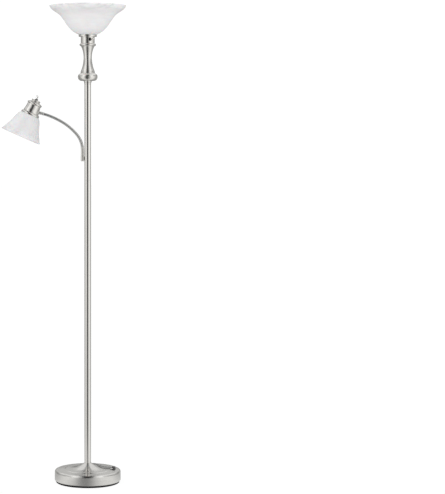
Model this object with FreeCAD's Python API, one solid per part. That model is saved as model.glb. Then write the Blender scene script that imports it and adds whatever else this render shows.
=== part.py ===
import FreeCAD, Part
import math
import os

# Torchiere floor lamp with a reading light on a flexible side arm.
# Millimetres. +Z is up, the origin is the centre of the base's underside on
# the pole's axis, the reading light's arm leaves the pole towards -X and the
# front of the lamp faces -Y.

os.makedirs("parts", exist_ok=True)

Vec = FreeCAD.Vector
ZAX = Vec(0, 0, 1)

# ------------------------------------------------------------------ sizes
# base
base_r = 125.5          # spun cover, outside
base_edge_z = 9.0       # cover's lower edge
base_side_top_z = 38.0  # where the side starts to round over
base_wall = 1.2
plate_r = 121.0         # black bottom plate
plate_rim_h = 10.0
plate_floor = 2.4
neck_top_z = 72.5       # cover's neck, where the pole stands
# pole
pole_r = 12.5
pole_wall = 1.0
pole_top_z = 1506.5
pole_sections = 4
pole_seam_gap = 0.15
thread_rod_r = 5.0
thread_bore_r = 3.0
# upper stack
collar_top_z = 1520.2
ball_r = 37.0
ball_mid_z = 1535.5
ball_top_z = 1548.6
column_top_z = 1649.8
column_waist_r = 15.5
ring_r = 31.0
ring_top_z = 1658.9
cover_r = 26.1
cover_top_z = 1684.6
gallery_r = 34.2
gallery_top_z = 1691.6
rim_r = 143.5           # upper shade, rim
rim_z = 1801.0
glass_t = 3.2
# lamp sockets, medium screw size
screw_r = 13.2
screw_len = 25.0
socket_r = 19.5
# upper switch
key_angle = 26.0        # degrees from the front towards +X
key_z = 1674.0
# reading light: its own axis runs from the shade's rim centre up to the knob
head_rim = (-251.7, 0.0, 1314.8)
head_tilt = 23.9        # degrees from the vertical, leaning to +X going up
bell_t = 3.0
# flexible arm
arm_r = 5.5
arm_bore_r = 1.9
arm_ball_r = 4.9
arm_socket_r = 5.3
arm_gap = 1.8
arm_joints = 7
ferrule_r = 6.4
arm_x = -19.9           # arm's axis where it stands beside the pole
ferrule_bot_z = 1219.0
ferrule_top_z = 1240.0
stud_z = 1230.5
# power cord
cord_d = 5.0
coil_c = (-25.0, 197.0)
coil_mid_r = 29.0
coil_half_w = 7.7
coil_h = 16.4


# ---------------------------------------------------------------- helpers
def save(name, shape):
    shape.exportStep("parts/%s.step" % name)
    solids = shape.Solids
    bad = [s for s in solids if not s.isValid() or s.Volume <= 0]
    print("%-26s solids %d volume %.1f %s" % (name, len(solids), shape.Volume, "BAD" if bad or not solids else ""))


def p3(rz):
    return Vec(rz[0], 0, rz[1])


def run_edges(start, steps):
    """Edges of a half-section: a (r, z) pair is a straight step, a list of
    pairs is a smooth curve through them."""
    edges, cur = [], start
    for s in steps:
        if isinstance(s, list):
            c = Part.BSplineCurve()
            c.interpolate([p3(cur)] + [p3(q) for q in s])
            edges.append(c.toShape())
            cur = s[-1]
        else:
            if abs(s[0] - cur[0]) > 1e-7 or abs(s[1] - cur[1]) > 1e-7:
                edges.append(Part.LineSegment(p3(cur), p3(s)).toShape())
            cur = s
    return edges, cur


def spin(start, *steps):
    """A solid of revolution about Z from a closed half-section."""
    edges, cur = run_edges(start, steps)
    if abs(cur[0] - start[0]) > 1e-7 or abs(cur[1] - start[1]) > 1e-7:
        edges.append(Part.LineSegment(p3(cur), p3(start)).toShape())
    face = Part.Face(Part.Wire(edges))
    return solid(face.revolve(Vec(0, 0, 0), ZAX, 360))


def solid(shape):
    if shape.ShapeType == "Solid":
        s = shape
    elif shape.Solids:
        s = shape.Solids[0]
    else:
        s = Part.Solid(shape.Shells[0] if shape.Shells else shape)
    if s.Volume < 0:
        s.reverse()
    return s


def sampled(start, steps, n=16):
    """Points along a run of steps, and how many each step has."""
    pts, counts, cur = [start], [], start
    for s in steps:
        if isinstance(s, list):
            c = Part.BSplineCurve()
            c.interpolate([p3(cur)] + [p3(q) for q in s])
            m = max(n, 3 * len(s))
            for v in c.toShape().discretize(Number=m + 1)[1:]:
                pts.append((v.x, v.z))
            counts.append(m)
            cur = s[-1]
        else:
            pts.append(s)
            counts.append(1)
            cur = s
    return pts, counts


def offset(pts, d):
    """The polyline moved d to the left of its direction, corners mitred."""
    out = []
    for i, p in enumerate(pts):
        ns = []
        for a, b in ((i - 1, i), (i, i + 1)):
            if a < 0 or b >= len(pts):
                continue
            dx, dz = pts[b][0] - pts[a][0], pts[b][1] - pts[a][1]
            l = math.hypot(dx, dz)
            ns.append((-dz / l, dx / l))
        nx, nz = sum(v[0] for v in ns) / len(ns), sum(v[1] for v in ns) / len(ns)
        k = nx * nx + nz * nz
        out.append((p[0] + d * nx / k, p[1] + d * nz / k))
    return out


def skin(t, start, *steps):
    """A spun sheet of thickness t: the run is its outer face, and the
    material lies to the left of it."""
    outer, last = run_edges(start, steps)
    pts, counts = sampled(start, steps)
    inner = offset(pts, t)
    edges, i = [], 0
    for s, m in zip(steps, counts):
        seg = inner[i:i + m + 1]
        if m == 1:
            edges.append(Part.LineSegment(p3(seg[0]), p3(seg[1])).toShape())
        else:
            c = Part.BSplineCurve()
            c.interpolate([p3(q) for q in seg])
            edges.append(c.toShape())
        i += m
    ends = [
        Part.LineSegment(p3(last), p3(inner[-1])).toShape(),
        Part.LineSegment(p3(inner[0]), p3(start)).toShape(),
    ]
    wire = Part.Wire(Part.__sortEdges__(outer + edges + ends))
    return solid(Part.Face(wire).revolve(Vec(0, 0, 0), ZAX, 360))


def tube(ro, ri, z0, z1):
    return Part.makeCylinder(ro, z1 - z0, Vec(0, 0, z0)).cut(
        Part.makeCylinder(ri, z1 - z0 + 2, Vec(0, 0, z0 - 1)))


def route(points, floor_r=None):
    """Straight runs joined by tangent arcs, each arc's radius 0.45 of the
    shorter run over the tangent of half the turn. Returns the wire, its
    length and the radii."""
    P = [Vec(*p) for p in points]
    edges, radii, cur, length = [], [], P[0], 0.0
    for i in range(1, len(P) - 1):
        a, b = P[i] - P[i - 1], P[i + 1] - P[i]
        la, lb = a.Length, b.Length
        a.normalize()
        b.normalize()
        turn = a.getAngle(b)
        t = 0.45 * min(la, lb)
        r = t / math.tan(turn / 2)
        radii.append((round(r, 1), round(math.degrees(turn), 1)))
        s, e = P[i] - a * t, P[i] + b * t
        bis = (b - a)
        bis.normalize()
        centre = P[i] + bis * (r / math.cos(turn / 2))
        mid = centre - bis * r
        edges.append(Part.LineSegment(cur, s).toShape())
        edges.append(Part.Arc(s, mid, e).toShape())
        cur = e
    edges.append(Part.LineSegment(cur, P[-1]).toShape())
    length = sum(e.Length for e in edges)
    return Part.Wire(edges), length, radii


def sweep(wire, r):
    first = wire.Edges[0]
    t = first.tangentAt(first.FirstParameter)
    start = first.valueAt(first.FirstParameter)
    ring = Part.Wire(Part.makeCircle(r, start, t))
    return solid(wire.makePipeShell([ring], True, False))


# the head's own frame: (radius direction, front, along its axis)
tilt = math.radians(head_tilt)
head_up = Vec(math.sin(tilt), 0, math.cos(tilt))
head_place = FreeCAD.Placement(Vec(*head_rim), FreeCAD.Rotation(Vec(0, 1, 0), head_tilt))


def on_head(shape):
    s = shape.copy()
    s.Placement = head_place.multiply(s.Placement)
    return s


def head_point(a, r=0.0, side=0.0):
    return head_place.multVec(Vec(r, side, a))


# ------------------------------------------------------------------- base
# spun cover: upright side, rounded shoulder, flat plateau with one step and
# a trumpet neck that the pole stands on
base_cover = skin(
    base_wall,
    (base_r - 2.0, base_edge_z - 1.6),
    [(base_r - 0.5, base_edge_z - 0.6), (base_r, base_edge_z + 1.0)],
    (base_r, base_side_top_z),
    [(base_r - 0.9, 42.0), (base_r - 3.2, 45.0), (119.0, 46.5)],
    (88.5, 48.2),
    [(86.8, 48.7), (85.4, 49.5), (83.6, 49.9)],
    [(72.0, 50.2), (60.0, 51.2), (50.0, 53.2), (41.5, 56.6), (32.0, 61.4), (22.4, 66.8), (16.0, 71.0), (13.4, neck_top_z)],
    (thread_rod_r + 0.25, neck_top_z),
)
bush_x, bush_y = 101.5, 8.0
bush_seat_z = 47.6
cover_hole = Part.makeCylinder(4.6, 30, Vec(bush_x, bush_y, 35))
base_cover = solid(base_cover.cut(cover_hole))
save("base_cover", base_cover)

# cast weight under the cover, with a recess for the nut and a channel
# underneath that takes the lead from the bush to the middle
weight = spin((5.4, 27.0), (25.0, 27.0), (25.0, 11.0), (118.5, 11.0), (118.5, 36.0), (112.0, 41.0), (58.0, 44.0), (14.0, 44.0), (14.0, 50.0), (5.4, 50.0))
bush_dir = math.degrees(math.atan2(bush_y, bush_x))
channel = Part.makeBox(100, 9, 9, Vec(0, -4.5, 10.0))
channel.rotate(Vec(0, 0, 0), ZAX, bush_dir)
notch = Part.makeCylinder(9.0, 60, Vec(bush_x, bush_y, 5))
weight = solid(weight.cut(channel).cut(notch))
save("base_weight", weight)

# black moulded bottom plate with an upstanding rim: the line of black that
# shows under the cover
plate = spin((0, 0), (plate_r - 1.0, 0), (plate_r, 1.0), (plate_r, plate_rim_h), (plate_r - 2.2, plate_rim_h), (plate_r - 2.2, plate_floor), (0, plate_floor))
save("base_plate", plate)

# threaded pipe that clamps pole, cover and weight together, and its wide
# hexagon nut in the weight's recess
nipple = tube(thread_rod_r, thread_bore_r, 20.5, 98.0)
save("base_threaded_pipe", nipple)
nut = Part.Face(Part.makePolygon([Vec(12.6 * math.cos(math.radians(60 * k)), 12.6 * math.sin(math.radians(60 * k)), 21.9) for k in range(7)])).extrude(Vec(0, 0, 5.0))
nut = nut.cut(Part.makeCylinder(thread_rod_r + 0.05, 20, Vec(0, 0, 15)))
save("base_hex_nut", solid(nut))

# ------------------------------------------------------------------- pole
seg = (pole_top_z - neck_top_z) / pole_sections
stud_hole = Part.makeCylinder(4.1, 12, Vec(-16, 0, stud_z), Vec(1, 0, 0))
for k in range(pole_sections):
    z0 = neck_top_z + k * seg + (pole_seam_gap / 2 if k else 0)
    z1 = neck_top_z + (k + 1) * seg - (pole_seam_gap / 2 if k < pole_sections - 1 else 0)
    ri = pole_r - pole_wall
    sec = spin((ri, z0), (pole_r - 0.35, z0), (pole_r, z0 + 0.35), (pole_r, z1 - 0.35), (pole_r - 0.35, z1), (ri, z1))
    if z0 < stud_z < z1:
        sec = solid(sec.cut(stud_hole))
        arm_section = k
    save("pole_section_%d" % (k + 1), sec)
# threaded couplers inside the seams, and the end bushes of the pole
for k in range(1, pole_sections):
    zc = neck_top_z + k * seg
    save("pole_coupler_%d" % k, spin((4.0, zc - 16), (10.6, zc - 16), (11.4, zc - 15.2), (11.4, zc + 15.2), (10.6, zc + 16), (4.0, zc + 16)))
save("pole_foot_bush", spin((thread_rod_r + 0.05, neck_top_z + 0.1), (11.4, neck_top_z + 0.1), (11.4, neck_top_z + 18), (thread_rod_r + 0.05, neck_top_z + 18)))
save("pole_top_bush", spin((thread_rod_r + 0.05, pole_top_z - 16), (11.4, pole_top_z - 16), (11.4, pole_top_z - 0.1), (thread_rod_r + 0.05, pole_top_z - 0.1)))

# ------------------------------------------------------------ upper stack
# turned collar: swells out of the pole, groove, then a flare up to the ball
collar = spin(
    (5.3, pole_top_z),
    (pole_r, pole_top_z),
    [(12.7, pole_top_z + 2.5), (13.1, pole_top_z + 5.0), (13.5, pole_top_z + 7.0)],
    (13.0, pole_top_z + 7.5),
    (13.7, pole_top_z + 8.0),
    [(14.6, pole_top_z + 10.2), (16.4, collar_top_z)],
    (5.3, collar_top_z),
)
save("neck_collar", collar)

ball = skin(
    1.2,
    (5.3, collar_top_z),
    (24.0, collar_top_z),
    [(27.6, collar_top_z + 0.5), (31.6, collar_top_z + 2.6), (34.8, collar_top_z + 6.3), (36.6, collar_top_z + 11.3), (ball_r, ball_mid_z + 0.6), (36.2, ball_mid_z + 4.8), (34.2, ball_mid_z + 7.9), (31.0, ball_mid_z + 10.7), (27.3, ball_mid_z + 12.7)],
    (27.0, ball_top_z),
    (5.3, ball_top_z),
)
save("ball_knop", ball)

column = skin(
    1.2,
    (27.0, ball_top_z),
    [(26.6, 1552.5), (25.4, 1557.6), (23.0, 1563.5), (20.9, 1569.8), (19.2, 1576.0), (17.9, 1583.0), (16.8, 1590.0), (16.0, 1596.7), (15.6, 1602.5), (column_waist_r, 1608.5), (15.8, 1615.0), (16.5, 1621.0), (17.5, 1627.0), (18.8, 1632.5), (20.4, 1637.6), (22.2, 1642.2), (24.3, 1646.3), (26.2, 1649.0)],
    (26.6, column_top_z),
)
column = solid(column.common(Part.makeCylinder(60, column_top_z - ball_top_z, Vec(0, 0, ball_top_z))))
save("waist_column", column)

ring = spin(
    (5.3, column_top_z),
    (27.6, column_top_z),
    [(29.5, column_top_z + 1.2), (30.7, column_top_z + 2.9), (ring_r, column_top_z + 4.6), (30.6, column_top_z + 6.4), (29.3, column_top_z + 8.1), (27.6, ring_top_z)],
    (26.35, ring_top_z),
    (26.35, 1654.6),
    (5.3, 1654.6),
)
save("trim_ring", ring)

phi = math.radians(key_angle)
key_dir = Vec(math.sin(phi), -math.cos(phi), 0)
slot_phi = math.radians(19.0)
slot_dir = Vec(math.sin(slot_phi), -math.cos(slot_phi), 0)
cover = spin((5.3, 1654.7), (25.5, 1654.7), (cover_r, 1655.3), (cover_r, cover_top_z), (cover_r - 1.0, cover_top_z), (cover_r - 1.0, 1655.7), (5.3, 1655.7))
# upright oval opening that the switch looks out of
sc = slot_dir * 20
op = Part.makeCylinder(5.2, 12, Vec(sc.x, sc.y, key_z - 1.2), slot_dir)
op = op.fuse(Part.makeCylinder(5.2, 12, Vec(sc.x, sc.y, key_z + 1.2), slot_dir))
cover = solid(cover.cut(op))
save("socket_cover", cover)

gallery = spin(
    (20.3, cover_top_z),
    (33.4, cover_top_z),
    [(33.95, cover_top_z + 0.25), (gallery_r, cover_top_z + 0.8)],
    (gallery_r, gallery_top_z - 0.4),
    (gallery_r - 0.4, gallery_top_z),
    (gallery_r - 1.0, gallery_top_z),
    (gallery_r - 1.0, cover_top_z + 1.0),
    (20.3, cover_top_z + 1.0),
)
save("shade_gallery", gallery)

# threaded pipe through the whole stack, and its lock nut under the socket
save("upper_threaded_pipe", tube(thread_rod_r, thread_bore_r, pole_top_z - 22, 1664.6))
lock = Part.Face(Part.makePolygon([Vec(8.4 * math.cos(math.radians(60 * k)), 8.4 * math.sin(math.radians(60 * k)), 1655.8) for k in range(7)])).extrude(Vec(0, 0, 3.6))
lock = lock.cut(Part.makeCylinder(thread_rod_r + 0.05, 20, Vec(0, 0, 1650)))
save("upper_lock_nut", solid(lock))

# lamp socket: insulating body, screw shell, centre contact
sock_bot, sock_top = 1659.6, 1716.0
well = sock_top - screw_len - 1.0


def socket_parts(z0, z1, ro, zw):
    body = spin((thread_rod_r + 0.06, z0), (ro - 3.5, z0), (ro, z0 + 3.5), (ro, z1 - 0.8), (ro - 0.8, z1), (screw_r + 0.62, z1), (screw_r + 0.62, zw), (6.2, zw), (6.2, zw - 3.0), (thread_rod_r + 0.06, zw - 3.0))
    return body


upper_body = socket_parts(sock_bot, sock_top, socket_r, well)
save("upper_socket_body", upper_body)
save("upper_screw_shell", tube(screw_r + 0.6, screw_r, well + 0.5, well + 0.5 + screw_len))


def contact(zw):
    c = spin((0, zw - 2.9), (6.0, zw - 2.9), (6.0, zw - 1.7), (4.0, zw - 1.4), [(3.1, zw - 0.5), (1.6, zw + 0.15), (0, zw + 0.3)])
    return c


save("upper_centre_contact", contact(well))

# threaded ring that holds the glass down, and the washer under the glass
save("upper_shade_ring", spin((socket_r + 0.3, 1690.9), (26.4, 1690.9), (27.0, 1691.5), (27.0, 1694.4), (26.0, 1695.4), (socket_r + 0.3, 1695.4)))
save("upper_shade_washer", tube(31.0, 20.8, cover_top_z + 1.05, cover_top_z + 2.4))

# switch body behind the opening, and the turn key
sb = Part.makeBox(11.5, 4.6, 15.0, Vec(-5.75, -24.4, key_z - 7.5))
sb.rotate(Vec(0, 0, 0), ZAX, key_angle - 4.0)
sb = sb.cut(Part.makeCylinder(socket_r + 0.15, 60, Vec(0, 0, 1640)))
keyhole = Part.makeCylinder(2.35, 40, Vec(0, 0, key_z), key_dir)
sb = sb.cut(keyhole)
save("upper_switch_body", solid(sb))


def turn_key():
    """Key lying along +X from its shaft's inner end: round shaft, then a
    flat fan that widens outwards."""
    shaft = Part.makeCylinder(2.0, 12.4, Vec(20.2, 0, 0), Vec(1, 0, 0))
    hub = Part.makeCylinder(2.9, 3.4, Vec(28.2, 0, 0), Vec(1, 0, 0))
    pts = [(30.4, 2.3), (34.0, 3.2), (38.6, 5.4), (42.8, 6.6), (45.6, 5.6), (46.6, 2.6), (46.8, 0.0)]
    c = Part.BSplineCurve()
    up = [Vec(x, y, -1.0) for x, y in pts]
    c.interpolate(up)
    e1 = c.toShape()
    d = Part.BSplineCurve()
    d.interpolate([Vec(x, -y, -1.0) for x, y in reversed(pts)])
    e2 = d.toShape()
    e3 = Part.LineSegment(Vec(pts[0][0], -pts[0][1], -1.0), Vec(pts[0][0], pts[0][1], -1.0)).toShape()
    fan = Part.Face(Part.Wire([e1, e2, e3])).extrude(Vec(0, 0, 2.0))
    return shaft.fuse([hub, fan]).removeSplitter()


key = turn_key()
key.rotate(Vec(0, 0, 0), Vec(1, 0, 0), 35)
key.rotate(Vec(0, 0, 0), ZAX, key_angle - 90)
key.translate(Vec(0, 0, key_z))
save("upper_switch_key", solid(key))

# blown glass bowl with a flared brim, open at the top
upper_glass = skin(
    glass_t,
    (20.9, cover_top_z + 2.5),
    (28.4, cover_top_z + 2.5),
    (33.0, 1691.8),
    [(36.0, 1693.1), (39.8, 1694.7), (44.7, 1696.9), (52.6, 1702.0), (58.8, 1706.6), (65.0, 1712.6), (71.0, 1719.4), (76.0, 1725.8), (81.0, 1732.6), (85.6, 1739.6), (90.2, 1746.4), (94.0, 1751.2)],
    [(96.2, 1754.0), (99.4, 1758.4), (106.6, 1766.2), (116.0, 1773.4), (125.4, 1779.2), (133.4, 1785.0), (139.2, 1791.4), (142.4, 1796.6), (rim_r, 1800.2)],
)
save("upper_glass_shade", upper_glass)

# ----------------------------------------------------------- reading light
bell = skin(
    bell_t,
    (78.4, 0.0),
    [(76.9, 2.2), (75.0, 5.0), (72.2, 9.6), (70.7, 13.4), (68.2, 17.6), (65.8, 21.6), (62.8, 27.8), (59.6, 35.0), (56.4, 42.6), (54.0, 49.4), (50.8, 58.0), (48.4, 65.0), (45.6, 72.0), (42.8, 78.2), (39.7, 82.2), (36.8, 85.0), (33.9, 86.7)],
    (33.9, 90.6),
    (29.6, 94.35),
    (20.9, 94.35),
)
save("reading_glass_shade", on_head(bell))
# dished metal holder that the glass hangs from
gal = skin(
    1.1,
    (35.3, 86.5),
    (35.5, 87.2),
    (35.5, 90.4),
    [(35.2, 92.2), (34.0, 93.8), (32.2, 94.9), (30.4, 95.6)],
    (20.2, 95.6),
)
save("reading_shade_gallery", on_head(gal))
save("reading_shade_ring", on_head(spin((20.0, 88.9), (24.6, 88.9), (25.2, 89.5), (25.2, 90.7), (24.6, 91.2), (20.0, 91.2))))
cup = skin(
    1.1,
    (30.2, 95.7),
    [(30.1, 98.0), (29.6, 101.5), (28.6, 106.0), (27.7, 111.0), (27.0, 117.0), (26.5, 122.0), (25.7, 125.6)],
    [(26.2, 126.9), (27.6, 128.4), (28.5, 130.2), (28.4, 132.2), (27.0, 133.8)],
    [(23.6, 135.2), (20.4, 136.4), (18.0, 138.0)],
    (5.4, 138.0),
)
ferrule_a = 108.0       # height of the arm's entry on the cup
arm_pts = [
    (arm_x, ferrule_bot_z), (arm_x, 1240.0), (arm_x, 1258.0), (-23.4, 1286.5), (-32.8, 1308.1), (-47.2, 1326.7),
    (-64.7, 1343.7), (-84.9, 1359.3), (-106.6, 1372.3), (-129.5, 1383.6), (-151.1, 1392.0), (-167.1, 1397.0),
    (-181.6, 1401.2),
]
arm_curve = Part.BSplineCurve()
arm_curve.interpolate([Vec(x, 0, z) for x, z in arm_pts[2:]], InitialTangent=Vec(0, 0, 1), FinalTangent=Vec(-0.958, 0, 0.287))
curve_len = arm_curve.length()
straight_len = 1258.0 - 1240.0


def arm_at(s):
    """Point and unit direction of the arm's centreline, s from the lower
    ferrule's top."""
    if s <= straight_len:
        return Vec(arm_x, 0, 1240.0 + s), Vec(0, 0, 1)
    u = arm_curve.parameterAtDistance(s - straight_len, arm_curve.FirstParameter)
    t = arm_curve.tangent(u)[0]
    t.normalize()
    return arm_curve.value(u), t


upper_ferrule_len = 17.0
arm_len = straight_len + curve_len - upper_ferrule_len
end_p, end_t = arm_at(straight_len + curve_len)
entry = Part.makeCylinder(5.0, 14, end_p - end_t * 4, end_t)
cup_solid = on_head(cup).cut(entry)
save("reading_cup", solid(cup_solid))

# turned cap on the cup: neck, dished lip
cap = spin((6.1, 138.1), (17.6, 138.1), [(16.6, 138.8), (15.8, 139.8), (15.6, 140.9), (16.3, 142.0), (17.1, 143.1), (17.2, 144.3), (16.5, 145.3), (15.3, 145.7)], (13.6, 144.6), (12.6, 143.1), (6.1, 142.8))
save("reading_cap", on_head(cap))

r_bot, r_top = 80.6, 133.6
# the socket opens towards the rim, so its parts are made mouth up and
# turned over on the head's axis
r_well = screw_len + 1.0
flip = FreeCAD.Placement(Vec(0, 0, r_bot + 53.0), FreeCAD.Rotation(Vec(0, 1, 0), 180))


def flipped(shape):
    s = shape.copy()
    s.Placement = flip.multiply(s.Placement)
    return on_head(s)


r_body = socket_parts(0.0, 53.0, 18.8, 53.0 - r_well)
save("reading_socket_body", flipped(r_body))
save("reading_screw_shell", flipped(tube(screw_r + 0.6, screw_r, 53.0 - r_well + 0.5, 53.0 - r_well + 0.5 + screw_len)))
save("reading_centre_contact", flipped(contact(53.0 - r_well)))
# switch shaft's bush, black, and the clear turn knob on its shaft
save("reading_switch_bush", on_head(spin((2.4, 134.2), (5.3, 134.2), (5.3, 143.0), (7.4, 143.0), (7.4, 146.0), (5.6, 146.6), (5.6, 150.4), (2.4, 150.4))))
knob_r = 7.1
kn = spin((0, 151.0), (5.2, 151.0), (5.8, 151.6), [(6.2, 153.6), (6.6, 157.4), (knob_r, 161.4)], (knob_r, 163.3), (6.4, 164.3), (0, 164.6))
for k in range(10):
    ang = math.radians(36 * k)
    kn = kn.cut(Part.makeCylinder(0.95, 10.5, Vec(7.6 * math.cos(ang), 7.6 * math.sin(ang), 152.6)))
kn = kn.cut(Part.makeCylinder(2.06, 11.0, Vec(0, 0, 150.0)))
save("reading_knob", on_head(solid(kn)))
save("reading_switch_shaft", on_head(Part.makeCylinder(2.05, 25.9, Vec(0, 0, 135.0)).cut(Part.makeCylinder(0.4, 40, Vec(0, 0, 130)))))

# ------------------------------------------------------------ side arm
# stud through the pole's wall, its nut inside the pole, and the collar
# between the pole and the ferrule
stud = Part.makeCylinder(4.0, 9.6, Vec(-7.4, 0, stud_z), Vec(-1, 0, 0))
save("arm_stud", stud)
sn = Part.Face(Part.makePolygon([Vec(-10.9, 6.2 * math.cos(math.radians(60 * k)), stud_z + 6.2 * math.sin(math.radians(60 * k))) for k in range(7)])).extrude(Vec(3.2, 0, 0))
sn = sn.cut(Part.makeCylinder(4.05, 20, Vec(-2, 0, stud_z), Vec(-1, 0, 0)))
sn = sn.common(Part.makeCylinder(pole_r - pole_wall - 0.1, 40, Vec(0, 0, stud_z - 20)))
save("arm_nut", solid(sn))
collar_block = Part.makeBox(4.6, 9.0, 12.0, Vec(-16.4, -4.5, stud_z - 6.0))
collar_block = collar_block.cut(Part.makeCylinder(pole_r + 0.05, 40, Vec(0, 0, stud_z - 20)))
collar_block = collar_block.cut(Part.makeCylinder(ferrule_r + 0.05, 60, Vec(arm_x, 0, stud_z - 30)))
collar_block = collar_block.cut(Part.makeCylinder(4.05, 30, Vec(0, 0, stud_z), Vec(-1, 0, 0)))
save("arm_saddle", solid(collar_block))
low = spin((0, ferrule_bot_z), (ferrule_r - 0.8, ferrule_bot_z), (ferrule_r, ferrule_bot_z + 0.8), (ferrule_r, ferrule_top_z - 0.6), (ferrule_r - 0.6, ferrule_top_z), (5.0, ferrule_top_z), (5.0, ferrule_bot_z + 1.6), (0, ferrule_bot_z + 1.6))
low.translate(Vec(arm_x, 0, 0))
low = low.cut(Part.makeCylinder(4.05, 14, Vec(-6, 0, stud_z), Vec(-1, 0, 0)))
save("lower_ferrule", solid(low))


def arm_piece(s0, s1, ball_at=None, socket_at=None):
    """A hollow length of the flexible arm between s0 and s1. A ball at its
    upper end turns in a cup in the next piece's lower end."""
    a, ta = arm_at(s0)
    m, tm = arm_at((s0 + s1) / 2)
    b, tb = arm_at(s1)
    if a.sub(m).cross(b.sub(m)).Length < 0.02:
        path = Part.Wire([Part.LineSegment(a, b).toShape()])
    else:
        path = Part.Wire([Part.Arc(a, m, b).toShape()])
    e = path.Edges[0]
    t = e.tangentAt(e.FirstParameter)
    body = solid(path.makePipeShell([Part.Wire(Part.makeCircle(arm_r, a, t))], True, False))
    if ball_at is not None:
        body = body.fuse(Part.makeSphere(arm_ball_r, arm_at(ball_at)[0]))
    if socket_at is not None:
        body = body.cut(Part.makeSphere(arm_socket_r, arm_at(socket_at)[0]))
    # wire way, run on straight past both ends
    t2 = e.tangentAt(e.LastParameter)
    way = [Part.LineSegment(a - t * 7.0, a).toShape(), e, Part.LineSegment(b, b + t2 * 9.0).toShape()]
    body = body.cut(sweep(Part.Wire(way), arm_bore_r))
    return solid(body)


pitch = arm_len / arm_joints
joint_s = [(k + 0.5) * pitch for k in range(arm_joints)]
print("ARM length %.2f pitch %.2f" % (arm_len, pitch))
for k in range(arm_joints + 1):
    s0 = 0.05 if k == 0 else joint_s[k - 1] + arm_gap
    s1 = arm_len if k == arm_joints else joint_s[k] - arm_gap
    piece = arm_piece(s0, s1, joint_s[k] if k < arm_joints else None, joint_s[k - 1] if k else None)
    if k == 0:
        # its turned-down root sits inside the lower ferrule
        root = Part.makeCylinder(4.95, 5.6, Vec(arm_x, 0, 1234.8)).cut(Part.makeCylinder(arm_bore_r, 20, Vec(arm_x, 0, 1230)))
        piece = solid(piece.fuse(root).removeSplitter())
    save("gooseneck_%d" % k, piece)
for k, s in enumerate(joint_s):
    p, t = arm_at(s)
    print("JOINT %d s %.2f pos %.3f %.3f tangent %.4f %.4f" % (k, s, p.x, p.z, t.x, t.z))
for k in range(0, 15):
    s = arm_len * k / 14.0
    p, t = arm_at(s)
    print("CENTRE %.2f %.3f %.3f %.4f %.4f" % (s, p.x, p.z, t.x, t.z))

# ferrule that ties the arm's last length to the cup
f0, ft = arm_at(arm_len + 0.05)
length = (end_p - f0).Length
up_f = spin((arm_bore_r, 0), (5.6, 0), (6.2, 0.9), (6.3, 3.0), (6.3, length - 0.4), (4.9, length - 0.4), (4.9, length + 3.4), (arm_bore_r, length + 3.4))
axis_dir = (end_p - f0)
axis_dir.normalize()
up_f.Placement = FreeCAD.Placement(f0, FreeCAD.Rotation(Vec(0, 0, 1), axis_dir))
# its mouth follows the cup's round side
up_f = up_f.cut(on_head(Part.makeCone(30.35, 26.9, 26.0, Vec(0, 0, 95.0), Vec(0, 0, 1)).cut(Part.makeCylinder(5.3, 60, Vec(0, 0, 90)))).cut(Part.makeCylinder(4.9, 60, f0, axis_dir)))
up_f = up_f.cut(on_head(Part.makeCylinder(25.4, 60, Vec(0, 0, 90))))
save("upper_ferrule", solid(up_f))
print("UPPER FERRULE", f0, axis_dir, length)

# ------------------------------------------------------------- wiring
# lead inside the base and up the whole pole to the socket
w_pts = [(bush_x, bush_y, 46.4)]
ux, uy = math.cos(math.radians(bush_dir)), math.sin(math.radians(bush_dir))
path = []
w_r = 2.2
R = math.hypot(bush_x, bush_y)
bend = 9.0
zc = 15.0
A = Vec(bush_x, bush_y, 46.0)
B = Vec(bush_x, bush_y, zc + bend)
C = Vec((R - bend) * ux, (R - bend) * uy, zc)
Mid1 = Vec((R - bend + bend * math.cos(math.radians(45))) * ux, (R - bend + bend * math.cos(math.radians(45))) * uy, zc + bend - bend * math.sin(math.radians(45)))
# under the pipe's mouth the lead turns up
bend2 = 5.5
Dp = Vec(bend2 * ux, bend2 * uy, zc)
E = Vec(0, 0, zc + bend2)
Mid2 = Vec((bend2 - bend2 * math.cos(math.radians(45))) * ux, (bend2 - bend2 * math.cos(math.radians(45))) * uy, zc + bend2 - bend2 * math.sin(math.radians(45)))
F = Vec(0, 0, 1661.5)
lead = Part.Wire([
    Part.LineSegment(A, B).toShape(), Part.Arc(B, Mid1, C).toShape(), Part.LineSegment(C, Dp).toShape(),
    Part.Arc(Dp, Mid2, E).toShape(), Part.LineSegment(E, F).toShape(),
])
lead_solid = sweep(lead, w_r)
save("pole_lead", lead_solid)

# ------------------------------------------------------------- power cord
# black strain relief: barrel through the cover, flange, rounded elbow and
# nose pointing along -X
barrel = Part.makeCylinder(4.4, 12.0, Vec(bush_x, bush_y, 36.5)).cut(Part.makeCylinder(w_r + 0.05, 10.0, Vec(bush_x, bush_y, 36.0)))
flange = spin((0, 0), (5.7, 0), (5.9, 0.5), (5.6, 1.3), (4.4, 2.0), (0, 2.2))
flange.translate(Vec(bush_x, bush_y, 48.25))
elbow = Part.makeSphere(4.1, Vec(bush_x, bush_y, 52.3))
nose = Part.makeCone(4.0, 3.2, 9.0, Vec(bush_x, bush_y, 52.8), Vec(-1, 0, 0))
bush = barrel.fuse([flange, elbow, nose])
bush = bush.removeSplitter()
save("cord_bushing", solid(bush))

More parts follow.
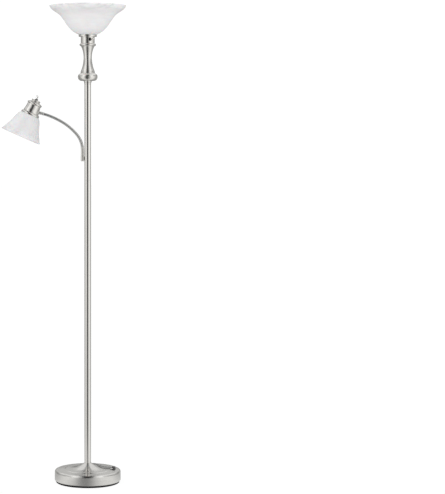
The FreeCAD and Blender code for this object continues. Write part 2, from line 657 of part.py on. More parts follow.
exit_x = bush_x - 9.2
cord_pts = [
    (exit_x, bush_y, 52.8),
    (80.0, 8.6, 53.3),
    (66.5, 9.0, 54.0),
    (53.0, 13.5, 56.4),
    (40.0, 21.5, 60.6),
    (27.0, 31.5, 62.4),
    (15.0, 44.5, 59.6),
    (7.5, 59.5, 55.6),
    (4.6, 76.0, 54.0),
    (4.0, 93.5, 53.2),
    (4.2, 110.0, 54.2),
    (4.4, 124.6, 52.6),
    (4.8, 137.4, 44.6),
    (5.2, 144.6, 31.4),
    (5.8, 148.6, 17.4),
    (6.8, 156.8, 7.2),
    (8.2, 170.2, 3.2),
    (9.0, 183.4, 2.65),
]
cord_wire, cord_len, cord_radii = route(cord_pts)
cord = sweep(cord_wire, cord_d / 2)
print("CORD visible length %.1f volume %.1f expected %.1f" % (cord_len, cord.Volume, cord_len * math.pi * cord_d ** 2 / 4))
print("CORD radii", cord_radii)
print("CORD runs", [round((Vec(*b) - Vec(*a)).Length, 1) for a, b in zip(cord_pts[:-1], cord_pts[1:])])
save("power_cord", cord)

# the rest of the cord wound into a neat coil on the floor behind the base
ci, co = coil_mid_r - coil_half_w, coil_mid_r + coil_half_w
coil = spin((ci + 1.8, 0.1), (co - 1.8, 0.1), [(co - 0.5, 0.7), (co, 2.2)], (co, coil_h - 2.4), [(co - 0.6, coil_h - 0.7), (co - 2.2, coil_h)], (ci + 2.2, coil_h), [(ci + 0.6, coil_h - 0.7), (ci, coil_h - 2.4)], (ci, 2.2), [(ci + 0.5, 0.7), (ci + 1.8, 0.1)])
coil.translate(Vec(coil_c[0], coil_c[1], 0))
save("cord_coil", coil)

# two-blade plug lying flat beside the coil, its tapered tail to the coil
plug_y = coil_c[1] + 40.4
plug_x0 = coil_c[0] - 12.0
plug_z = 8.1
tail = Part.makeCone(3.2, 5.6, 17.0, Vec(plug_x0, plug_y, plug_z), Vec(-1, 0, 0))
pb = Part.makeBox(23.0, 24.0, 15.6, Vec(plug_x0 - 39.0, plug_y - 12.0, 0.3))
pb = pb.makeFillet(4.0, [e for e in pb.Edges])
plug = pb.fuse(tail).removeSplitter()
blades = []
for sgn in (-1, 1):
    b = Part.makeBox(17.6, 1.5, 6.4, Vec(plug_x0 - 39.0 - 17.6, plug_y + sgn * 6.35 - 0.75, plug_z - 3.2))
    b = b.makeChamfer(0.5, [e for e in b.Edges if abs(e.CenterOfMass.x - (plug_x0 - 56.6)) < 0.01])
    b = b.cut(Part.makeCylinder(1.6, 4, Vec(plug_x0 - 39.0 - 13.0, plug_y + sgn * 6.35 - 2, plug_z), Vec(0, 1, 0)))
    blades.append(solid(b))
save("plug_body", solid(plug))
save("plug_blades", Part.makeCompound(blades))
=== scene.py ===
import bpy, math
import bmesh
from mathutils import Matrix, Vector


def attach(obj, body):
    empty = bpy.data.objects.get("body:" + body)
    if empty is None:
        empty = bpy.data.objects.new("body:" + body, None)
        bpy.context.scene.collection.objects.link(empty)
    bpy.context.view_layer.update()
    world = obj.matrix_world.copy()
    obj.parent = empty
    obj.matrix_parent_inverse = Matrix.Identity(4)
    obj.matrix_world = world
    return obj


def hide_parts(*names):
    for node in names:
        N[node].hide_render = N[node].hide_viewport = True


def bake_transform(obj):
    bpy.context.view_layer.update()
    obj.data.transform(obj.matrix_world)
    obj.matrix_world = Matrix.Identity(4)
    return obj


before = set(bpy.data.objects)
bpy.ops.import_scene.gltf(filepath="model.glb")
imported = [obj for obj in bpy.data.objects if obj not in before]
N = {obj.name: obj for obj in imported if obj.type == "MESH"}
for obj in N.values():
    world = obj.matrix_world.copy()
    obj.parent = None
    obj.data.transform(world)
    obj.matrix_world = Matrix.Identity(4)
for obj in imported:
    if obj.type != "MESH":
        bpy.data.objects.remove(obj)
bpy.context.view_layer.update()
MM = 0.001


# ------------------------------------------------------------------ camera
cam_data = bpy.data.cameras.new("camera")
cam = bpy.data.objects.new("camera", cam_data)
bpy.context.scene.collection.objects.link(cam)
cam.location = (0, -6.35, 1.370)
cam.rotation_euler = (math.radians(90 - 4.269), 0, 0)
cam_data.lens = 123.0
cam_data.sensor_width = 36.0
cam_data.shift_x = 0.2728
cam_data.clip_start, cam_data.clip_end = 0.1, 100
bpy.context.scene.camera = cam


# ------------------------------------------------------- material builders
class Mat:
    """A node material with a few shorthands."""

    def __init__(self, name):
        self.m = bpy.data.materials.new(name)
        self.m.use_nodes = True
        self.t = self.m.node_tree
        self.t.nodes.clear()
        self.out = self.n("ShaderNodeOutputMaterial")
        self.b = self.n("ShaderNodeBsdfPrincipled")
        self.link(self.b.outputs[0], self.out.inputs[0])

    def n(self, kind, **kw):
        node = self.t.nodes.new(kind)
        for k, v in kw.items():
            setattr(node, k, v)
        return node

    def link(self, a, b):
        self.t.links.new(a, b)

    def set(self, **kw):
        for k, v in kw.items():
            key = k.replace("_", " ")
            for s in self.b.inputs:
                if s.name.lower() == key.lower():
                    s.default_value = v
                    break
            else:
                raise KeyError(k)
        return self

    def coords(self, place=None):
        c = self.n("ShaderNodeTexCoord").outputs["Object"]
        if place is None:
            return c
        m = self.n("ShaderNodeMapping", vector_type="TEXTURE")
        m.inputs["Location"].default_value = place[0]
        m.inputs["Rotation"].default_value = place[1]
        self.link(c, m.inputs["Vector"])
        return m.outputs["Vector"]

    def scaled(self, vec, scale):
        m = self.n("ShaderNodeVectorMath", operation="MULTIPLY")
        self.link(vec, m.inputs[0])
        m.inputs[1].default_value = scale
        return m.outputs[0]

    def math(self, op, a, b=None, clamp=False):
        m = self.n("ShaderNodeMath", operation=op, use_clamp=clamp)
        for i, v in enumerate((a, b)):
            if v is None:
                continue
            if isinstance(v, (int, float)):
                m.inputs[i].default_value = v
            else:
                self.link(v, m.inputs[i])
        return m.outputs[0]

    def noise(self, vec, scale, detail=3, rough=0.5, distortion=0.0):
        x = self.n("ShaderNodeTexNoise")
        x.inputs["Scale"].default_value = scale
        x.inputs["Detail"].default_value = detail
        x.inputs["Roughness"].default_value = rough
        x.inputs["Distortion"].default_value = distortion
        self.link(vec, x.inputs["Vector"])
        return x.outputs["Fac"]

    def ramp(self, fac, stops):
        r = self.n("ShaderNodeValToRGB")
        els = r.color_ramp.elements
        while len(els) < len(stops):
            els.new(0.5)
        for e, (pos, col) in zip(els, stops):
            e.position = pos
            e.color = (*col, 1) if isinstance(col, tuple) else (col, col, col, 1)
        self.link(fac, r.inputs[0])
        return r.outputs[0]

    def range(self, fac, lo, hi, a=0.0, b=1.0):
        r = self.n("ShaderNodeMapRange")
        r.inputs["From Min"].default_value, r.inputs["From Max"].default_value = a, b
        r.inputs["To Min"].default_value, r.inputs["To Max"].default_value = lo, hi
        self.link(fac, r.inputs["Value"])
        return r.outputs[0]

    def bump(self, height, strength, distance):
        b = self.n("ShaderNodeBump")
        b.inputs["Strength"].default_value = strength
        b.inputs["Distance"].default_value = distance
        self.link(height, b.inputs["Height"])
        self.link(b.outputs[0], self.b.inputs["Normal"])
        return b

    def turned(self, vec):
        """(distance from Z, height, angle) of a point."""
        s = self.n("ShaderNodeSeparateXYZ")
        self.link(vec, s.inputs[0])
        x, y, z = s.outputs
        r = self.math("SQRT", self.math("ADD", self.math("MULTIPLY", x, x), self.math("MULTIPLY", y, y)))
        return r, z, self.math("ARCTAN2", y, x)


    def grooves(self, place, spread):
        """Stretch the gloss across grooves that run round the axis."""
        self.set(Anisotropic=spread, Anisotropic_Rotation=0.25)
        centre, turn = place if place else ((0, 0, 0), (0, 0, 0))
        axis = Matrix.Rotation(turn[1], 3, "Y") @ Vector((0, 0, 1))
        d = self.n("ShaderNodeVectorMath", operation="SUBTRACT")
        self.link(self.coords(), d.inputs[0])
        d.inputs[1].default_value = centre
        x = self.n("ShaderNodeVectorMath", operation="CROSS_PRODUCT")
        x.inputs[0].default_value = axis
        self.link(d.outputs[0], x.inputs[1])
        w = self.n("ShaderNodeVectorTransform", vector_type="VECTOR", convert_from="OBJECT", convert_to="WORLD")
        self.link(x.outputs[0], w.inputs[0])
        self.link(w.outputs[0], self.b.inputs["Tangent"])


HEAD_TILT = math.radians(23.9)
HEAD = ((-0.2517, 0.0, 1.3148), (0.0, HEAD_TILT, 0.0))


def nickel(name, way, place=None, rough=0.2, colour=(0.80, 0.785, 0.755), fine=1.0, lines=0.10, spread=0.0):
    """Brushed nickel plate; way is long (brushed along Z) or spun (brushed
    round Z), place the part's own frame."""
    m = Mat(name)
    m.set(Metallic=1.0)
    v = m.coords(place)
    if way == "long":
        brush = m.noise(m.scaled(v, (2600 * fine, 2600 * fine, 14)), 1.0, 4, 0.65)
        broad = m.noise(m.scaled(v, (260, 260, 5)), 1.0, 2, 0.5)
    else:
        r, z, ang = m.turned(v)
        c = m.n("ShaderNodeCombineXYZ")
        m.link(m.math("MULTIPLY", r, 2400 * fine), c.inputs[0])
        m.link(m.math("MULTIPLY", z, 2400 * fine), c.inputs[1])
        m.link(m.math("MULTIPLY", m.math("SINE", ang), 1.6), c.inputs[2])
        brush = m.noise(c.outputs[0], 1.0, 4, 0.65)
        c2 = m.n("ShaderNodeCombineXYZ")
        m.link(m.math("MULTIPLY", r, 240), c2.inputs[0])
        m.link(m.math("MULTIPLY", z, 240), c2.inputs[1])
        m.link(m.math("COSINE", ang), c2.inputs[2])
        broad = m.noise(c2.outputs[0], 1.0, 2, 0.5)
    tone = m.math("ADD", m.math("MULTIPLY", brush, 0.7), m.math("MULTIPLY", broad, 0.3))
    k = 1 - lines
    m.link(m.ramp(tone, [(0.30, tuple(c * k for c in colour)), (0.70, colour)]), m.b.inputs["Base Color"])
    m.link(m.range(tone, rough - 0.05, rough + 0.08, 0.25, 0.75), m.b.inputs["Roughness"])
    m.bump(brush, 0.10, 0.00006)
    if spread:
        m.grooves(place, spread)
    return m.m


def plain_metal(name, colour, rough, scale=900):
    m = Mat(name)
    m.set(Metallic=1.0)
    f = m.noise(m.coords(), scale, 4, 0.6)
    m.link(m.ramp(f, [(0.3, tuple(c * 0.86 for c in colour)), (0.7, colour)]), m.b.inputs["Base Color"])
    m.link(m.range(f, rough - 0.06, rough + 0.08, 0.2, 0.8), m.b.inputs["Roughness"])
    m.bump(f, 0.08, 0.0001)
    return m.m


def plastic(name, colour, rough, grain=1400, depth=0.00012, strength=0.25, coat=0.0, gloss=0.5):
    m = Mat(name)
    m.set(Metallic=0.0, Coat_Weight=coat, Specular_IOR_Level=gloss)
    f = m.noise(m.coords(), grain, 4, 0.6)
    g = m.noise(m.coords(), grain / 24, 3, 0.5)
    m.link(m.ramp(m.math("ADD", m.math("MULTIPLY", f, 0.5), m.math("MULTIPLY", g, 0.5)),
                  [(0.35, tuple(c * 0.85 for c in colour)), (0.65, tuple(min(1, c * 1.12) for c in colour))]), m.b.inputs["Base Color"])
    m.link(m.range(f, rough - 0.06, rough + 0.08, 0.2, 0.8), m.b.inputs["Roughness"])
    m.bump(f, strength, depth)
    return m.m


def alabaster(name, rim, inward, place=None, base=0.88):
    """White frosted glass: almost even, with cloudy streaks along the rim.
    rim is the rim's height in the glass's own frame, inward the way to the
    rest of the glass."""
    m = Mat(name)
    m.set(Metallic=0.0, IOR=1.5, Subsurface_Weight=0.12, Subsurface_Scale=0.004, Coat_Weight=0.2, Coat_Roughness=0.18)
    v = m.coords(place)
    _, z, _ = m.turned(v)
    depth = m.math("MULTIPLY", m.math("SUBTRACT", z, rim), inward)
    near = m.range(depth, 1.0, 0.12, 0.002, 0.030)
    cloud = m.noise(v, 13, 4, 0.5, 1.2)
    streak = m.noise(m.scaled(v, (1, 1, 4.0)), 22, 5, 0.55, 1.0)
    swing = m.math("SUBTRACT", m.math("ADD", m.math("MULTIPLY", cloud, 0.5), m.math("MULTIPLY", streak, 0.5)), 0.5)
    tone = m.math("ADD", m.math("MULTIPLY", m.math("MULTIPLY", swing, near), 1.9), 0.5)
    w = (base, base * 1.002, base * 1.012)
    m.link(m.ramp(tone, [(0.34, tuple(c * 0.82 for c in w)), (0.52, w), (0.72, tuple(min(1, c * 1.05) for c in w))]), m.b.inputs["Base Color"])
    m.link(m.range(m.noise(v, 900, 3, 0.6), 0.34, 0.46, 0.2, 0.8), m.b.inputs["Roughness"])
    m.bump(m.noise(v, 420, 3, 0.6), 0.05, 0.0002)
    return m.m


MATS = {
    "pole": nickel("nickel_pole", "spun", rough=0.16, lines=0.05, spread=0.45),
    "base": nickel("nickel_base", "spun", rough=0.22, colour=(0.77, 0.76, 0.735), lines=0.20, spread=0.8),
    "turned": nickel("nickel_turned", "spun", rough=0.22, fine=1.2, spread=0.6),
    "head": nickel("nickel_head", "spun", HEAD, rough=0.22, fine=1.2, spread=0.6),
    "hose": nickel("nickel_hose", "long", rough=0.20, colour=(0.66, 0.66, 0.65)),
    "sleeve": nickel("nickel_sleeve", "long", rough=0.17, lines=0.05),
    "ferrule": nickel("nickel_ferrule", "long", rough=0.42, colour=(0.90, 0.90, 0.89), lines=0.05),
    "key": nickel("nickel_key", "long", rough=0.34, colour=(0.88, 0.87, 0.85)),
    "steel": plain_metal("steel_plain", (0.58, 0.57, 0.55), 0.34),
    "shell": plain_metal("shell_aluminium", (0.82, 0.82, 0.81), 0.24),
    "brass": plain_metal("contact_brass", (0.80, 0.62, 0.30), 0.26),
    "cement": plastic("cement", (0.42, 0.41, 0.39), 0.85, 300, 0.0006, 0.6),
    "black": plastic("black_moulded", (0.010, 0.010, 0.011), 0.55, gloss=0.15),
    "phenolic": plastic("black_phenolic", (0.03, 0.028, 0.027), 0.32, coat=0.2),
    "bush": plastic("black_bush", (0.09, 0.09, 0.092), 0.42),
    "cord": plastic("cord_vinyl", (0.34, 0.34, 0.335), 0.30, 500, 0.0001, 0.15, coat=0.35),
    "plug": plastic("plug_vinyl", (0.62, 0.62, 0.61), 0.34, 700, 0.0001, 0.2, coat=0.2),
    "glass": alabaster("glass_upper", 1.801, -1.0),
    "bell": alabaster("glass_bell", 0.0, 1.0, HEAD, base=0.745),
}

clear = Mat("knob_clear")
clear.set(Metallic=0.0, IOR=1.49, Transmission_Weight=0.92, Base_Color=(0.985, 0.99, 0.99, 1))
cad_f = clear.noise(clear.coords(HEAD), 500, 3, 0.5)
clear.link(clear.range(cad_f, 0.03, 0.10, 0.2, 0.8), clear.b.inputs["Roughness"])
clear.bump(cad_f, 0.05, 0.0001)
MATS["clear"] = clear.m


def wear(obj, key):
    obj.data.materials.clear()
    obj.data.materials.append(MATS[key])


WEAR = {
    "base": ["base_cover"],
    "pole": ["pole_section_1", "pole_section_2", "pole_section_3", "pole_section_4", "arm_saddle"],
    "turned": ["neck_collar", "ball_knop", "waist_column", "trim_ring", "socket_cover", "shade_gallery"],
    "head": ["reading_cup", "reading_cap", "reading_shade_gallery"],
    "sleeve": ["lower_ferrule"],
    "ferrule": ["upper_ferrule"],
    "hose": ["gooseneck_%d" % k for k in range(8)],
    "key": ["upper_switch_key"],
    "steel": ["base_threaded_pipe", "base_hex_nut", "pole_coupler_1", "pole_coupler_2", "pole_coupler_3",
              "pole_foot_bush", "pole_top_bush", "upper_threaded_pipe", "upper_lock_nut", "arm_stud", "arm_nut",
              "reading_switch_shaft"],
    "shell": ["upper_screw_shell", "reading_screw_shell"],
    "brass": ["upper_centre_contact", "reading_centre_contact", "plug_blades"],
    "cement": ["base_weight"],
    "black": ["base_plate", "upper_switch_body", "upper_shade_washer"],
    "phenolic": ["upper_socket_body", "reading_socket_body", "upper_shade_ring", "reading_shade_ring"],
    "bush": ["cord_bushing", "reading_switch_bush"],
    "cord": ["power_cord", "cord_coil", "pole_lead"],
    "plug": ["plug_body"],
    "glass": ["upper_glass_shade"],
    "bell": ["reading_glass_shade"],
    "clear": ["reading_knob"],
}
for key, names in WEAR.items():
    for n in names:
        wear(N[n], key)


# ---------------------------------------------------------------- the cord
# route in metres, the same points as the CAD tube's
CORD_D = 0.005
route = [
    (0.0923, 0.0080, 0.0528), (0.0800, 0.0086, 0.0533), (0.0665, 0.0090, 0.0540), (0.0530, 0.0135, 0.0564),
    (0.0400, 0.0215, 0.0606), (0.0270, 0.0315, 0.0624), (0.0150, 0.0445, 0.0596), (0.0075, 0.0595, 0.0556),
    (0.0046, 0.0760, 0.0540), (0.0040, 0.0935, 0.0532), (0.0042, 0.1100, 0.0542), (0.0044, 0.1246, 0.0526),
    (0.0048, 0.1374, 0.0446), (0.0052, 0.1446, 0.0314), (0.0058, 0.1486, 0.0174), (0.0068, 0.1568, 0.0072),
    (0.0082, 0.1702, 0.0032), (0.0090, 0.1834, 0.0028),
]
CX, CY = -0.025, 0.197
# the turns' places in the bundle, (distance from the coil's centre, height)
a, b, c = 23.85, 29.0, 34.15
z1, z2, z3 = 3.5, 8.65, 13.8
places = [(c, z1), (b, z1), (a, z1), (a, z2), (a, z3), (b, z3), (b, z2), (c, z2), (c, z3)]
step = 15
shrink = 1 / (0.5 + 0.5 * math.cos(math.radians(step))) ** 0.5
# where each turn moves over to the next place: (turn's start, end) in degrees.
# Moves along one row share a window, and each later window comes earlier.
windows = [(286, 350), (286, 350), (248, 286), (248, 286), (186, 248), (148, 186), (86, 148), (50, 86)]


def place_at(total):
    """Distance and height of the cord at a total turned angle."""
    for i, (w0, w1) in enumerate(windows):
        if total < 360 * i + w0:
            return places[i]
        if total < 360 * i + w1:
            t = (total - 360 * i - w0) / (w1 - w0)
            p, q = places[i], places[i + 1]
            return p[0] + (q[0] - p[0]) * t, p[1] + (q[1] - p[1]) * t
    return places[-1]


coil = []
total = 4.0
while total < 360 * 8 + 26:
    rr, zz = place_at(total)
    ang = math.radians(total)
    coil.append((CX + rr * shrink * MM * math.cos(ang), CY + rr * shrink * MM * math.sin(ang), zz * MM))
    total += step
PX, PY, PZ = -0.037, 0.2374, 0.0081
tail = [(CX + 0.0282, CY + 0.0232, 0.0137), (CX + 0.0236, CY + 0.0302, 0.0130), (CX + 0.0160, CY + 0.0366, 0.0112), (CX + 0.0065, CY + 0.0402, 0.0092), (CX - 0.0030, CY + 0.0405, 0.0082), (PX + 0.0005, PY, PZ), (PX - 0.008, PY, PZ)]
points = route + coil + tail
cu = bpy.data.curves.new("mains_cord", "CURVE")
cu.dimensions = "3D"
sp = cu.splines.new("NURBS")
sp.points.add(len(points) - 1)
for p, q in zip(sp.points, points):
    p.co = (*q, 1)
sp.order_u = 3
sp.use_endpoint_u = True
sp.resolution_u = 6
cu.bevel_depth = CORD_D / 2
cu.bevel_resolution = 5
cu.use_fill_caps = True
cord = bpy.data.objects.new("mains_cord", cu)
bpy.context.scene.collection.objects.link(cord)
cord.data.materials.append(MATS["cord"])
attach(cord, "stand")
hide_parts("power_cord", "cord_coil")


def new_mesh(name, verts, faces, mat, smooth=True):
    me = bpy.data.meshes.new(name)
    me.from_pydata(verts, [], faces)
    me.validate()
    bm = bmesh.new()
    bm.from_mesh(me)
    bmesh.ops.recalc_face_normals(bm, faces=bm.faces)
    bm.to_mesh(me)
    bm.free()
    for p in me.polygons:
        p.use_smooth = smooth
    ob = bpy.data.objects.new(name, me)
    bpy.context.scene.collection.objects.link(ob)
    me.materials.append(mat)
    return ob


def tube_along(frames, section, closed=False):
    """Rings of section points, (across, up) pairs, set on (point, across, up)
    frames."""
    verts, faces = [], []
    m = len(section)
    for p, x, y in frames:
        for u, v in section:
            verts.append(tuple(p + x * u + y * v))
    n = len(frames)
    for i in range(n if closed else n - 1):
        for j in range(m):
            k = (j + 1) % m
            i2 = (i + 1) % n
            faces.append((i * m + j, i * m + k, i2 * m + k, i2 * m + j))
    if not closed:
        faces.append(tuple(range(m - 1, -1, -1)))
        faces.append(tuple((n - 1) * m + j for j in range(m)))
    return verts, faces


# the tie round the coil's bundle: a flat black band closed round it
tie_ang = math.radians(232)
tc = Vector((CX + 0.029 * math.cos(tie_ang), CY + 0.029 * math.sin(tie_ang), 0.00865))
out = Vector((math.cos(tie_ang), math.sin(tie_ang), 0))
along = Vector((-math.sin(tie_ang), math.cos(tie_ang), 0))
up = Vector((0, 0, 1))
hw, hh, rc = 0.00815, 0.00820, 0.0030
frames_ = []
for q in range(4):
    cx = (hw - rc) * (1 if q in (0, 3) else -1)
    cz = (hh - rc) * (1 if q in (0, 1) else -1)
    for s in range(7):
        w = math.radians(90 * q + 15 * s)
        d = out * math.cos(w) + up * math.sin(w)
        frames_.append((tc + out * cx + up * cz + d * rc, along, d))
band = [(-0.0022, -0.00022), (0.0022, -0.00022), (0.0024, 0.0), (0.0022, 0.00022), (-0.0022, 0.00022), (-0.0024, 0.0)]
tv, tf = tube_along(frames_, band, closed=True)
tie = new_mesh("cord_tie", tv, tf, MATS["bush"])
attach(tie, "stand")


# ------------------------------------------------------- the flexible arm
# centreline stations: (distance along, x, z, direction x, direction z)
STATIONS = [
    (0.00, -19.900, 1240.000, 0.0000, 1.0000), (16.63, -19.900, 1256.631, 0.0000, 1.0000),
    (33.26, -20.758, 1273.229, -0.1225, 0.9925), (49.89, -24.291, 1289.455, -0.3058, 0.9521),
    (66.53, -30.846, 1304.714, -0.4799, 0.8773), (83.16, -40.124, 1318.491, -0.6238, 0.7816),
    (99.79, -51.177, 1330.910, -0.6966, 0.7174), (116.42, -63.207, 1342.389, -0.7486, 0.6630),
    (133.05, -76.053, 1352.946, -0.7963, 0.6049), (149.68, -89.696, 1362.449, -0.8435, 0.5372),
    (166.31, -104.020, 1370.895, -0.8761, 0.4821), (182.95, -118.771, 1378.573, -0.8976, 0.4409),
    (199.58, -133.887, 1385.505, -0.9210, 0.3895), (216.21, -149.423, 1391.431, -0.9459, 0.3245),
    (232.84, -165.273, 1396.467, -0.9589, 0.2836),
]
PITCH = 232.84 / 7


def arm_at(s):
    for p, q in zip(STATIONS[:-1], STATIONS[1:]):
        if s <= q[0] + 1e-6 or q is STATIONS[-1]:
            break
    h = q[0] - p[0]
    t = (s - p[0]) / h
    h00, h10, h01, h11 = 2 * t ** 3 - 3 * t * t + 1, t ** 3 - 2 * t * t + t, -2 * t ** 3 + 3 * t * t, t ** 3 - t * t
    d00, d10, d01, d11 = 6 * t * t - 6 * t, 3 * t * t - 4 * t + 1, -6 * t * t + 6 * t, 3 * t * t - 2 * t
    x = h00 * p[1] + h10 * h * p[3] + h01 * q[1] + h11 * h * q[3]
    z = h00 * p[2] + h10 * h * p[4] + h01 * q[2] + h11 * h * q[4]
    dx = d00 * p[1] + d10 * h * p[3] + d01 * q[1] + d11 * h * q[3]
    dz = d00 * p[2] + d10 * h * p[4] + d01 * q[2] + d11 * h * q[4]
    return Vector((x * MM, 0, z * MM)), Vector((dx, 0, dz)).normalized()


RIB = PITCH / 15.0
for k in range(7):
    s0 = 0.02 if k == 0 else k * PITCH
    s1 = 232.82 if k == 6 else (k + 1) * PITCH
    n = int(round((s1 - s0) / RIB)) * 6
    rings = []
    verts, faces = [], []
    seg = 28
    for i in range(n + 1):
        s = s0 + (s1 - s0) * i / n
        p, t = arm_at(s)
        side = Vector((0, 1, 0))
        nrm = t.cross(side)
        # rounded wire turns: a full round crest and a narrow groove; the first
        # length is a smooth sleeve over them with a rounded end
        ph = (s / RIB) % 1.0
        r = 5.6 - 0.20 * (abs(2 * ph - 1) ** 3.0)
        if k == 0:
            r = 6.0 - 0.4 * max(0.0, 1 - (s1 - s) / 1.2) ** 2
        for j in range(seg):
            w = 2 * math.pi * j / seg
            verts.append(tuple(p + (side * math.cos(w) + nrm * math.sin(w)) * (r * MM)))
    for i in range(n):
        for j in range(seg):
            q = (j + 1) % seg
            faces.append((i * seg + j, i * seg + q, (i + 1) * seg + q, (i + 1) * seg + j))
    faces.append(tuple(range(seg - 1, -1, -1)))
    faces.append(tuple(n * seg + j for j in range(seg)))
    hose = new_mesh("arm_hose_%d" % (k + 1), verts, faces, MATS["hose" if k else "sleeve"])
    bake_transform(hose)
    if k == 6:
        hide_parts("gooseneck_6", "gooseneck_7")
    else:
        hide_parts("gooseneck_%d" % k)


# ------------------------------------------ rolled threads of the sockets
def screw_shell(name, node, to_world, body, length=25.0):
    """A thin shell with the coarse rounded thread of a lamp socket."""
    seg, rows = 48, 90
    pitch = 3.6
    verts, faces = [], []
    lay = []
    for face in (0, 1):
        for i in range(rows + 1):
            z = length * i / rows
            fade = min(1.0, z / 1.2, (length - z) / 1.2)
            for j in range(seg):
                w = 2 * math.pi * j / seg
                ridge = 0.5 - 0.5 * math.cos(2 * math.pi * (z / pitch - j / seg))
                r = 13.22 + (0.0 if face == 0 else 0.34) + fade * 0.50 * ridge * (0.5 if face else 0.5)
                verts.append(tuple(to_world @ Vector((r * MM * math.cos(w), r * MM * math.sin(w), z * MM))))
    m = (rows + 1) * seg
    for face in (0, 1):
        o = face * m
        for i in range(rows):
            for j in range(seg):
                q = (j + 1) % seg
                quad = (o + i * seg + j, o + i * seg + q, o + (i + 1) * seg + q, o + (i + 1) * seg + j)
                faces.append(quad if face else quad[::-1])
    for i in (0, rows):
        for j in range(seg):
            q = (j + 1) % seg
            quad = (i * seg + j, i * seg + q, m + i * seg + q, m + i * seg + j)
            faces.append(quad if i == 0 else quad[::-1])
    ob = new_mesh(name, verts, faces, MATS["shell"])
    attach(ob, body)
    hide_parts(node)
    return ob


screw_shell("upper_thread", "upper_screw_shell", Matrix.Translation((0, 0, 1.6905)), "stand")
head_m = Matrix.Translation(HEAD[0]) @ Matrix.Rotation(HEAD_TILT, 4, "Y")
screw_shell("reading_thread", "reading_screw_shell", head_m @ Matrix.Translation((0, 0, 0.0811)), "reading_head")


# ------------------------------------------------------------------- stage
# what stands round the lamp in the studio, by direction seen from above:
# a dark gap behind the camera, a tall soft panel on each side of it, and
# greyer walls further round with a darker gap behind the lamp.
# (degrees from the camera's side, brightness)
ROUND = [(-180, 0.10), (-168, 0.16), (-150, 0.56), (-134, 0.40), (-120, 0.30), (-94, 0.64), (-74, 1.09), (-56, 1.10),
         (-40, 0.74), (-24, 0.20), (-15, 0.02), (-3, 0.02), (6, 0.16), (21, 0.60), (37, 0.96), (53, 1.14), (70, 1.20),
         (90, 0.87), (114, 0.42), (134, 0.42), (150, 0.60), (168, 0.20), (180, 0.10)]


def round_about(tree, vec):
    """Brightness of the surroundings in the direction of vec."""
    sep = tree.nodes.new("ShaderNodeSeparateXYZ")
    tree.links.new(vec, sep.inputs[0])
    neg = tree.nodes.new("ShaderNodeMath")
    neg.operation = "MULTIPLY"
    neg.inputs[1].default_value = -1
    tree.links.new(sep.outputs[1], neg.inputs[0])
    at = tree.nodes.new("ShaderNodeMath")
    at.operation = "ARCTAN2"
    tree.links.new(sep.outputs[0], at.inputs[0])
    tree.links.new(neg.outputs[0], at.inputs[1])
    part = tree.nodes.new("ShaderNodeMath")
    part.operation = "MULTIPLY_ADD"
    part.inputs[1].default_value = 0.5 / math.pi
    part.inputs[2].default_value = 0.5
    tree.links.new(at.outputs[0], part.inputs[0])
    ramp = tree.nodes.new("ShaderNodeValToRGB")
    els = ramp.color_ramp.elements
    while len(els) < len(ROUND):
        els.new(0.5)
    for e, (deg, v) in zip(els, ROUND):
        e.position = deg / 360 + 0.5
        e.color = (v, v, v * 0.985, 1)
    tree.links.new(part.outputs[0], ramp.inputs[0])
    return ramp.outputs[0], sep.outputs


floor_me = bpy.data.meshes.new("studio_floor")
W = 30
floor_me.from_pydata([(-W, -W, 0), (W, -W, 0), (W, W, 0), (-W, W, 0)], [], [(0, 1, 2, 3)])
floor = bpy.data.objects.new("studio_floor", floor_me)
bpy.context.scene.collection.objects.link(floor)
floor.location.z = -0.0005
fm = Mat("floor_white")
fm.set(Roughness=0.9, Base_Color=(0.62, 0.62, 0.62, 1))
f_lp = fm.n("ShaderNodeLightPath")
f_em = fm.n("ShaderNodeEmission")
f_em.inputs[1].default_value = 1.05
f_seen = fm.n("ShaderNodeMixShader")
f_seen.inputs[0].default_value = 0.9
fm.link(fm.b.outputs[0], f_seen.inputs[1])
fm.link(f_em.outputs[0], f_seen.inputs[2])
f_env = fm.n("ShaderNodeEmission")
f_env.inputs[1].default_value = 0.87
f_col, _ = round_about(fm.t, fm.coords())
f_lift = fm.n("ShaderNodeMix", data_type="RGBA")
f_far = fm.n("ShaderNodeVectorMath", operation="LENGTH")
fm.link(fm.coords(), f_far.inputs[0])
fm.link(fm.range(f_far.outputs["Value"], 0.42, 0.04, 0.40, 1.10), f_lift.inputs["Factor"])
fm.link(f_col, f_lift.inputs[6])
f_lift.inputs[7].default_value = (1, 1, 1, 1)
f_even = fm.n("ShaderNodeMix", data_type="RGBA")
fm.link(fm.math("MAXIMUM", f_lp.outputs["Is Diffuse Ray"], f_lp.outputs["Is Transmission Ray"]), f_even.inputs["Factor"])
fm.link(f_lift.outputs[2], f_even.inputs[6])
f_even.inputs[7].default_value = (1.07, 1.07, 1.07, 1)
fm.link(f_even.outputs[2], f_env.inputs[0])
f_mix = fm.n("ShaderNodeMixShader")
fm.link(f_lp.outputs["Is Camera Ray"], f_mix.inputs[0])
fm.link(f_env.outputs[0], f_mix.inputs[1])
fm.link(f_seen.outputs[0], f_mix.inputs[2])
fm.link(f_mix.outputs[0], fm.out.inputs[0])
floor_me.materials.append(fm.m)

world = bpy.data.worlds.new("studio")
bpy.context.scene.world = world
world.use_nodes = True
wt = world.node_tree
wt.nodes.clear()
wo = wt.nodes.new("ShaderNodeOutputWorld")
lp = wt.nodes.new("ShaderNodeLightPath")
tc_ = wt.nodes.new("ShaderNodeTexCoord")
env = wt.nodes.new("ShaderNodeBackground")
env.inputs[1].default_value = 1.0
w_col, w_dir = round_about(wt, tc_.outputs["Generated"])


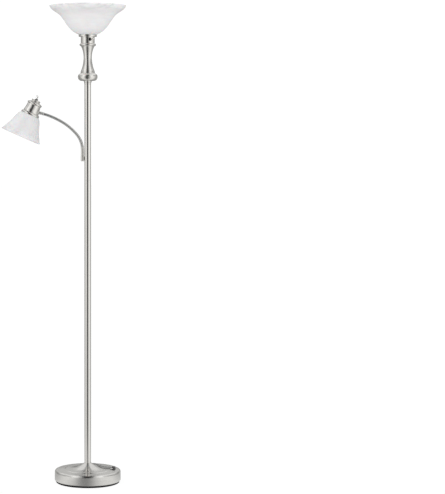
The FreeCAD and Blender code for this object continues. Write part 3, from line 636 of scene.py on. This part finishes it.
def smooth(value, lo, hi):
    r = wt.nodes.new("ShaderNodeMapRange")
    r.interpolation_type = "SMOOTHSTEP"
    r.inputs["From Min"].default_value, r.inputs["From Max"].default_value = lo, hi
    wt.links.new(value, r.inputs["Value"])
    return r.outputs[0]


def combine(kind, a, b, c=None):
    n = wt.nodes.new("ShaderNodeMath")
    n.operation = kind
    for k, v in enumerate((a, b, c)):
        if isinstance(v, (int, float)):
            n.inputs[k].default_value = v
        elif v is not None:
            wt.links.new(v, n.inputs[k])
    return n.outputs[0]


def bands(value, stops):
    """Brightness by distance from the middle of a strip."""
    r = wt.nodes.new("ShaderNodeValToRGB")
    while len(r.color_ramp.elements) < len(stops):
        r.color_ramp.elements.new(0.5)
    for e, (at_, v_) in zip(r.color_ramp.elements, stops):
        e.position = at_
        e.color = (v_, v_, v_ * 0.985, 1)
    wt.links.new(value, r.inputs[0])
    return r.outputs[0]


def blend_of(factor, a, b):
    n = wt.nodes.new("ShaderNodeMix")
    n.data_type = "RGBA"
    wt.links.new(factor, n.inputs["Factor"])
    wt.links.new(a, n.inputs[6])
    wt.links.new(b, n.inputs[7])
    return n.outputs[2]


# above eye level a long panel hangs on each side with a dark strip between
# them, broad in front and narrow overhead; the panels dim far out to the side,
# and low behind the lamp the wall is an even grey
shift = combine("MULTIPLY_ADD", w_dir[2], -0.03, 0.03)
aside = combine("ABSOLUTE", combine("ADD", w_dir[0], shift), 0.0)
strip = combine("DIVIDE", aside, combine("MULTIPLY_ADD", w_dir[1], -0.47, 0.55))
ceil = combine("MULTIPLY", bands(strip, [(0.0, 0.03), (0.19, 0.05), (0.34, 0.38), (0.52, 0.92), (0.64, 0.98), (1.0, 0.94)]),
               bands(aside, [(0.0, 1.0), (0.66, 1.0), (1.0, 0.38)]))
rear = bands(aside, [(0.0, 0.62), (0.14, 0.68), (0.30, 0.52), (0.60, 0.32), (1.0, 0.32)])
low_rear = combine("MULTIPLY", smooth(w_dir[1], 0.30, 0.70), combine("SUBTRACT", 1.0, smooth(w_dir[2], 0.34, 0.60)))
ceil = blend_of(low_rear, ceil, rear)
over = wt.nodes.new("ShaderNodeMix")
over.data_type = "RGBA"
wt.links.new(smooth(w_dir[2], 0.07, 0.20), over.inputs["Factor"])
wt.links.new(w_col, over.inputs[6])
wt.links.new(ceil, over.inputs[7])
wt.links.new(over.outputs[2], env.inputs[0])
fill = wt.nodes.new("ShaderNodeBackground")
fill.inputs[0].default_value = (1, 1, 1, 1)
fill.inputs[1].default_value = 1.14
white = wt.nodes.new("ShaderNodeBackground")
white.inputs[0].default_value = (1, 1, 1, 1)
white.inputs[1].default_value = 1.05
m_fill = wt.nodes.new("ShaderNodeMixShader")
soft_ray = wt.nodes.new("ShaderNodeMath")
soft_ray.operation = "MAXIMUM"
wt.links.new(lp.outputs["Is Diffuse Ray"], soft_ray.inputs[0])
wt.links.new(lp.outputs["Is Transmission Ray"], soft_ray.inputs[1])
wt.links.new(soft_ray.outputs[0], m_fill.inputs[0])
wt.links.new(env.outputs[0], m_fill.inputs[1])
wt.links.new(fill.outputs[0], m_fill.inputs[2])
m_cam = wt.nodes.new("ShaderNodeMixShader")
wt.links.new(lp.outputs["Is Camera Ray"], m_cam.inputs[0])
wt.links.new(m_fill.outputs[0], m_cam.inputs[1])
wt.links.new(white.outputs[0], m_cam.inputs[2])
wt.links.new(m_cam.outputs[0], wo.inputs[0])


def area(name, loc, aim, size, power, colour=(1, 1, 1)):
    d = bpy.data.lights.new(name, "AREA")
    d.shape = "RECTANGLE"
    d.size, d.size_y = size
    d.energy = power
    d.color = colour
    o = bpy.data.objects.new(name, d)
    bpy.context.scene.collection.objects.link(o)
    o.location = loc
    o.rotation_euler = (Vector(aim) - Vector(loc)).to_track_quat("-Z", "Y").to_euler()
    return o


area("top_left", (-2.6, -1.2, 3.6), (0, 0, 1.2), (1.2, 2.0), 3)
area("top_right", (2.6, -1.2, 3.6), (0, 0, 1.2), (1.2, 2.0), 3)
area("left_soft", (-3.4, -3.0, 1.6), (0, 0, 1.0), (1.4, 3.0), 3)
area("right_soft", (3.4, -3.0, 1.6), (0, 0, 1.0), (1.4, 3.0), 3)

vs = bpy.context.scene.view_settings
vs.view_transform = "Standard"
vs.look = "None"
vs.exposure = 0.0
vs.gamma = 1.0
